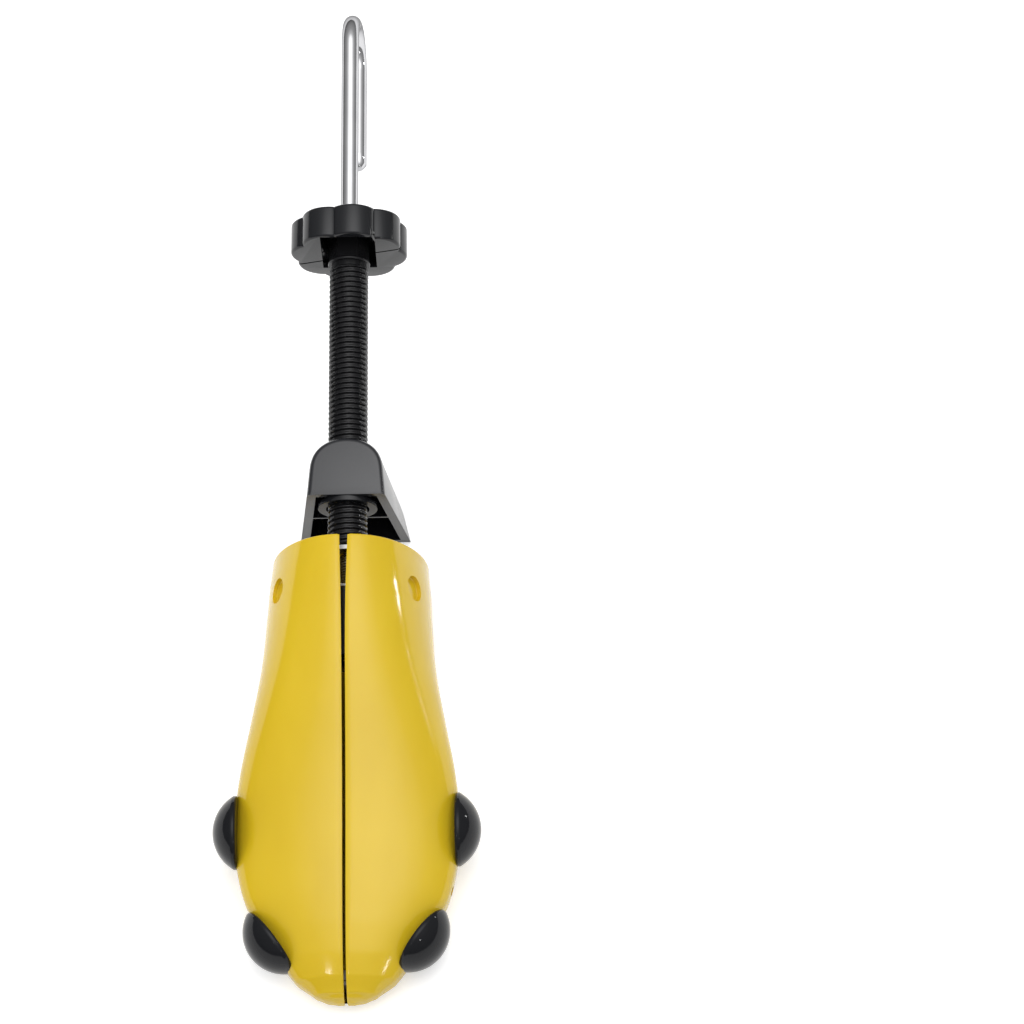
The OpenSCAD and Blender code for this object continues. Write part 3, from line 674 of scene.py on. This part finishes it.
def knobHalf(name, up):
    # a hollow lobed puck with two screw posts, halved along the seam; its rims are quarter rounds:
    # inset = e (1 - sin b) at e (1 - cos b) from the face
    q, t, e, w = knob["q"], knob["thick"], knob["edge"], knob["wall"]
    b = np.radians(np.linspace(0, 90, 7))
    qs = np.concatenate([q + e * (1 - np.cos(b)), q + t - e * (1 - np.cos(b[::-1]))])
    insets = np.concatenate([e * (1 - np.sin(b)), e * (1 - np.sin(b[::-1]))])
    piece = outward(closedLoft(name, lobedRings(qs, insets), smoothAngle=40))
    inside = outward(closedLoft("inside", lobedRings([q + w, q + t - w], [w, w])))
    combine(piece, [inside], "DIFFERENCE", 40)
    posts = [barBetween("post", screwSpot(side, -knob["postEnd"]), screwSpot(side, knob["postEnd"]),
                        knob["post"], 40) for side in (-1, 1)]
    tight = outward(closedLoft("tight", lobedRings([q + 1, q + t - 1], [1.2, 1.2])))
    for post in posts:
        combine(post, [copyOf(tight)], "INTERSECT")
        combine(piece, [post], "UNION", 40)
    discard(tight)
    reach, gap = 30.0, knob["seamGap"] / 2
    low, high = (-reach, gap) if up else (-gap, reach)
    half, bottom, top = knob["window"]
    cuts = [tubeBlock("otherHalf", (-reach, q - 2, low), (reach, q + t + 2, high), knob["seam"]),
            tubeBlock("window", (-half, q - 2, bottom), (half, q + w + knob["windowPast"], top),
                      knob["windowTurn"]),
            bar("bore", q - 1, t + 4, knob["bore"]),
            bar("hexRoom", q - 1, t - w + 1, knob["hexRoom"])]
    for side in (-1, 1):
        cuts += screwCutters(side)
    return combine(piece, cuts, "DIFFERENCE", 40)


for word, up in (("Upper", True), ("Lower", False)):
    half = knobHalf("knob" + word, up)
    finish(half, finishes["black"], "tube", ["knob_" + word.lower() + "_half"])
print("knob made")

# Heel block
heel = {
    "q": 22.0, "half": 13.9, "length": 21.8, "straight": 9.0, "round": 0.68,
    "top": 11.2, "drop": 52.0, "lowest": 52.0, "flare": math.radians(7),
    "drawTop": 0.13, "drawLow": 0.38,
    "wall": 3.3, "edge": 1.7, "plate": 2.64, "soft": 0.35, "softAngle": 50, "softSteps": 2,
    "sole": 2.6, "soleInset": 1.65, "soleReach": (-20, -56),
    "boss": 11.0, "setBack": 5.5, "bore": 9.08,
    "web": {"low": -16.5, "thick": 0.9, "half": 15.4, "front": 0.6, "back": 8.6},
}


def archOutline(half, length, level, drawLevel, extra=0.0, count=96):
    # straight sides, then a rear of sin a to a power over the half turn; the sides draw in as
    # 1 - d back / length, with d growing from the top plate to the floor
    a = np.linspace(0, np.pi, count)
    lead = np.linspace(0, heel["straight"], 9)[:-1]
    rear = heel["straight"] + (length - heel["straight"]) * np.abs(np.sin(a)) ** heel["round"]
    q = np.concatenate([[-extra], lead, rear, lead[::-1], [-extra]])
    across = np.concatenate([[1], np.ones(len(lead)), np.cos(a), -np.ones(len(lead)), [-1]])
    draw = heel["drawTop"] + (heel["drawLow"] - heel["drawTop"]) * (
        heel["top"] - drawLevel) / (heel["top"] + heel["lowest"])
    x = half * across * (1 - draw * np.clip(q, 0, None) / length)
    return alongTube(x, heel["q"] + q, level)


def heelOutline(level, inset, extra=0.0):
    # half width and length grow by the flare under the top
    grow = (heel["top"] - level) * math.tan(heel["flare"]) - inset
    return archOutline(heel["half"] + grow, heel["length"] + grow, level, level, extra)


def heelSole():
    # the bottom plate: the outline at the floor, kept between the floor and the sole's top
    floor = -tube["axisHeight"]
    grow = (heel["top"] - floor) * math.tan(heel["flare"]) - heel["soleInset"]
    sole = outward(closedLoft("sole", np.stack([
        archOutline(heel["half"] + grow, heel["length"] + grow, v, floor) for v in heel["soleReach"]])))
    return combine(sole, [levelBlock("soleRoom", (-60, -20, -4), (60, 140, heel["sole"]))], "INTERSECT")


def heelBlock():
    # an arched outline lofted from a rounded top edge to the floor, hollowed from the front and
    # below, with its sole, its boss round the tube, and the tube's bore
    q, e, back = heel["q"], heel["edge"], heel["setBack"]
    b = np.radians(np.linspace(0, 90, 7))
    levels = np.concatenate([heel["top"] - e * (1 - np.sin(b[::-1])), [-heel["drop"]]])
    insets = np.concatenate([e * (1 - np.cos(b[::-1])), [0.0]])
    piece = outward(closedLoft("heelBlockBody", np.stack([
        heelOutline(level, inset) for level, inset in zip(levels, insets)])))
    room = copyOf(piece)
    cavity = outward(closedLoft("cavity", np.stack([
        heelOutline(level, heel["wall"], 6.0)
        for level in (heel["top"] - heel["plate"], -heel["drop"] - 1)])))
    combine(piece, [cavity], "DIFFERENCE")
    combine(piece, [heelSole()], "UNION")
    boss = bar("boss", q + back, heel["length"] - heel["wall"] / 2 - back, 2 * heel["boss"])
    combine(boss, [room], "INTERSECT")
    combine(piece, [boss], "UNION")
    bore = bar("bore", q - 3, heel["length"] + 16, 2 * heel["bore"])
    floorCut = levelBlock("floorCut", (-60, -20, -60), (60, 140, 0))
    combine(piece, [bore, floorCut], "DIFFERENCE")
    return bevelled(piece, heel["soft"], heel["softSteps"], heel["softAngle"])


def heelWeb():
    # the cross web, its ends sunk in the side walls
    q, web = heel["q"], heel["web"]
    return tubeBlock("heelWeb", (-web["half"], q + web["front"], web["low"]),
                     (web["half"], q + web["back"], web["low"] + web["thick"]))


finish(heelBlock(), finishes["heel"], "heel", ["heel_block"])
finish(heelWeb(), finishes["heel"], "heel", ())
print("heel block made")

# Hooked rod
hook = {
    "rod": span["rod"], "bend": span["bend"], "bendQ": span["bendQ"], "back": 39.0,
    "roll": math.radians(3), "chamfer": 1.6, "tip": 0.6, "sides": 48,
    "threadEnd": 1.9, "threadStart": -40.5, "thread": 2.94, "threadDepth": 0.5, "threadPitch": 1.0,
    "threadStep": 0.11, "threadSides": 44,
}


def hookRod():
    # a circle carried along a straight, a half turn and a straight: point = c + r (n cos t + x sin t)
    start, bend, bendQ = hook["threadEnd"], hook["bend"], hook["bendQ"]
    end = bendQ - hook["back"]
    turn = np.radians(np.linspace(0, 180, 49))
    there = np.concatenate([[start, start + 0.6], np.linspace(8, bendQ - 2, 30)])
    back = np.concatenate([np.linspace(bendQ - 2, end, 10), [end - hook["chamfer"]]])
    q = np.concatenate([there, bendQ + bend * np.sin(turn), back])
    p = np.concatenate([np.zeros(len(there)), -bend + bend * np.cos(turn), np.full(len(back), -2 * bend)])
    angle = np.concatenate([np.zeros(len(there)), turn, np.full(len(back), np.pi)])
    radius = np.full(len(q), hook["rod"])
    radius[0] = hook["thread"] - 0.35
    radius[-1] = hook["rod"] * hook["tip"]
    t = np.linspace(0, 2 * np.pi, hook["sides"], endpoint=False)
    reach = radius[:, None] * np.cos(t)[None, :]
    x = radius[:, None] * np.sin(t)[None, :]
    ringQ = q[:, None] + reach * np.sin(angle)[:, None]
    ringP = p[:, None] + reach * np.cos(angle)[:, None]
    c, s = math.cos(hook["roll"]), math.sin(hook["roll"])
    rings = alongTube(x * c - ringP * s, ringQ, ringP * c + x * s)
    return outward(closedLoft("hookedRod", rings, smoothAngle=40))


def rodThread():
    # the rod's front end: r = crest less a rounded groove that winds once for each pitch
    start, crest, depth = hook["threadStart"], hook["thread"], hook["threadDepth"]
    rows = np.arange(start, hook["threadEnd"] + 0.2, hook["threadStep"])
    theta = np.linspace(0, 2 * np.pi, hook["threadSides"], endpoint=False)
    along, sweep = np.meshgrid(rows, theta, indexing="ij")
    radius = threadRadius(sweep, along, crest, depth, hook["threadPitch"], start)
    radius = np.minimum(radius, crest - depth + (along - start) * 0.8)
    rings = alongTube(radius * np.sin(sweep), along, radius * np.cos(sweep))
    return outward(closedLoft("rodThreadedEnd", rings, smoothAngle=50))


finish(hookRod(), finishes["chrome"], "hook", ["hook_rod"])
finish(rodThread(), finishes["rodThread"], "hook", ())
print("hook made")

# CAD nodes left showing
# the hinge pin and leaves take the darkened steel, painted shade inside the seam
shown = {
    "left_ramp_block": "yellow", "right_ramp_block": "yellow", "wedge_block": "black",
    "heel_nut": "black", "toe_hinge_pin": "paintedShadeSteel", "thrust_plate": "steel",
    "left_hinge_leaf": "paintedShadeSteel", "right_hinge_leaf": "paintedShadeSteel", "wedge_nut": "steel",
    "knob_screws": "steel", "rod_washer": "steel", "rod_collar": "steel",
}
for node, key in shown.items():
    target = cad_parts[node]
    if not target.data.materials:
        target.data.materials.append(finishes[key])
    for slotPlace in target.material_slots:
        slotPlace.material = finishes[key]
print("CAD nodes finished")

# Studio. The sky is what a gloss sees: (share of the way from its foot to its top, level)
studio = {
    "floorShade": 0.86, "floorHalf": 3, "floorLevel": -0.0004, "lift": 0.46, "glossLift": 0.32,
    "world": 0.55, "zenith": 2.7, "skyAxis": (0.14, -0.03, 0.99),
    "sky": [(0.5, 0.16), (0.6, 0.26), (0.8, 0.42), (0.9, 0.75), (0.96, 1.7), (1.0, 2.7)],
    "softboxes": {
        "topSoftbox": {"size": (1.1, 1.3), "power": 11.5, "place": (0.12, 0.1, 1.35), "target": (0, 0, 0)},
        "sideSoftbox": {"size": (0.9, 1.4), "power": 5.0, "place": (-1.25, -0.35, 0.9),
                        "target": (0, 0, 0.02)},
    },
    "glintTarget": (0.02, -0.1, 0.04),
    "glints": [
        {"place": (1.134, 0.368, 0.177), "size": (0.06, 0.07), "power": 0.6},
        {"place": (0.846, -1.16, 0.78), "size": (0.13, 0.04), "power": 0.45},
        {"place": (-0.4, -1.137, 1.09), "size": (0.13, 0.03), "power": 0.3},
    ],
}


def seenDirectly(tree, path):
    # 1 where the camera or a clear piece sees it
    return linked(tree, "ShaderNodeMath", [
        (0, path.outputs["Is Camera Ray"]), (1, path.outputs["Is Transmission Ray"])],
        operation="MAXIMUM").outputs[0]


def floorMaterial():
    # white paper: a diffuse sheet, lightened where the camera, a gloss or a clear piece sees it
    material, tree, shader = newMaterial("paperFloor")
    place = linked(tree, "ShaderNodeTexCoord").outputs["Object"]
    grain = linked(tree, "ShaderNodeTexNoise", [("Vector", place), ("Scale", 300.0), ("Detail", 3.0)])
    shade = studio["floorShade"]
    colour = ramp(tree, grain.outputs["Fac"], [(0.3, (shade - 0.01,) * 3), (0.7, (shade + 0.01,) * 3)])
    tree.links.new(colour, shader.inputs["Base Color"])
    shader.inputs["Roughness"].default_value = 0.9
    shader.inputs["Specular IOR Level"].default_value = 0.1
    path = linked(tree, "ShaderNodeLightPath")
    gloss = linked(tree, "ShaderNodeMath", [(0, path.outputs["Is Glossy Ray"]), (1, studio["glossLift"])],
                   operation="MULTIPLY")
    glow = linked(tree, "ShaderNodeMath", [
        (0, seenDirectly(tree, path)), (1, studio["lift"]), (2, gloss.outputs[0])],
        operation="MULTIPLY_ADD")
    shader.inputs["Emission Color"].default_value = (1, 1, 1, 1)
    tree.links.new(glow.outputs[0], shader.inputs["Emission Strength"])
    return material


half, level = studio["floorHalf"], studio["floorLevel"]
floor = meshObject("paperFloorSheet", [
    (-half, -half, level), (half, -half, level), (half, half, level), (-half, half, level)], [[0, 1, 2, 3]])
floor.data.materials.append(floorMaterial())

world = bpy.data.worlds.new("studioWorld")
bpy.context.scene.world = world
world.use_nodes = True
worldTree = world.node_tree
background = worldTree.nodes["Background"]
path = linked(worldTree, "ShaderNodeLightPath")
way = linked(worldTree, "ShaderNodeTexCoord").outputs["Generated"]
height = linked(worldTree, "ShaderNodeVectorMath", [(0, way), (1, studio["skyAxis"])],
                operation="DOT_PRODUCT")
raised = linked(worldTree, "ShaderNodeMath", [(0, height.outputs["Value"]), (1, 0.5), (2, 0.5)],
                operation="MULTIPLY_ADD")
shade = ramp(worldTree, raised.outputs[0], [
    (spot, (level / studio["zenith"],) * 3) for spot, level in studio["sky"]])
sky = linked(worldTree, "ShaderNodeVectorMath", [(0, shade), ("Scale", studio["zenith"])],
             operation="SCALE").outputs["Vector"]
dull = linked(worldTree, "ShaderNodeMix", [
    (0, path.outputs["Is Glossy Ray"]), (6, (*(studio["world"],) * 3, 1)), (7, sky)], data_type="RGBA")
seen = linked(worldTree, "ShaderNodeMix", [
    (0, seenDirectly(worldTree, path)), (6, dull.outputs[2]), (7, (1, 1, 1, 1))], data_type="RGBA")
worldTree.links.new(seen.outputs[2], background.inputs["Color"])
background.inputs["Strength"].default_value = 1.0


def softbox(name, size, power, place, target):
    # an area lamp at place, facing target
    data = bpy.data.lights.new(name, "AREA")
    data.shape = "RECTANGLE"
    data.size, data.size_y = size
    data.energy = power
    lamp = bpy.data.objects.new(name, data)
    bpy.context.scene.collection.objects.link(lamp)
    way = np.asarray(place, float) - np.asarray(target, float)
    back = way / np.linalg.norm(way)
    right = np.cross([0, 1, 0], back)
    right /= np.linalg.norm(right)
    up = np.cross(back, right)
    lamp.matrix_world = Matrix([
        [right[0], up[0], back[0], place[0]], [right[1], up[1], back[1], place[1]],
        [right[2], up[2], back[2], place[2]], [0, 0, 0, 1]])
    return lamp


for name, box in studio["softboxes"].items():
    softbox(name, box["size"], box["power"], box["place"], box["target"]).visible_glossy = False
for index, glint in enumerate(studio["glints"]):
    softbox("glint%d" % index, glint["size"], glint["power"], glint["place"], studio["glintTarget"])
bpy.context.scene.view_settings.view_transform = "Standard"
print("studio made")
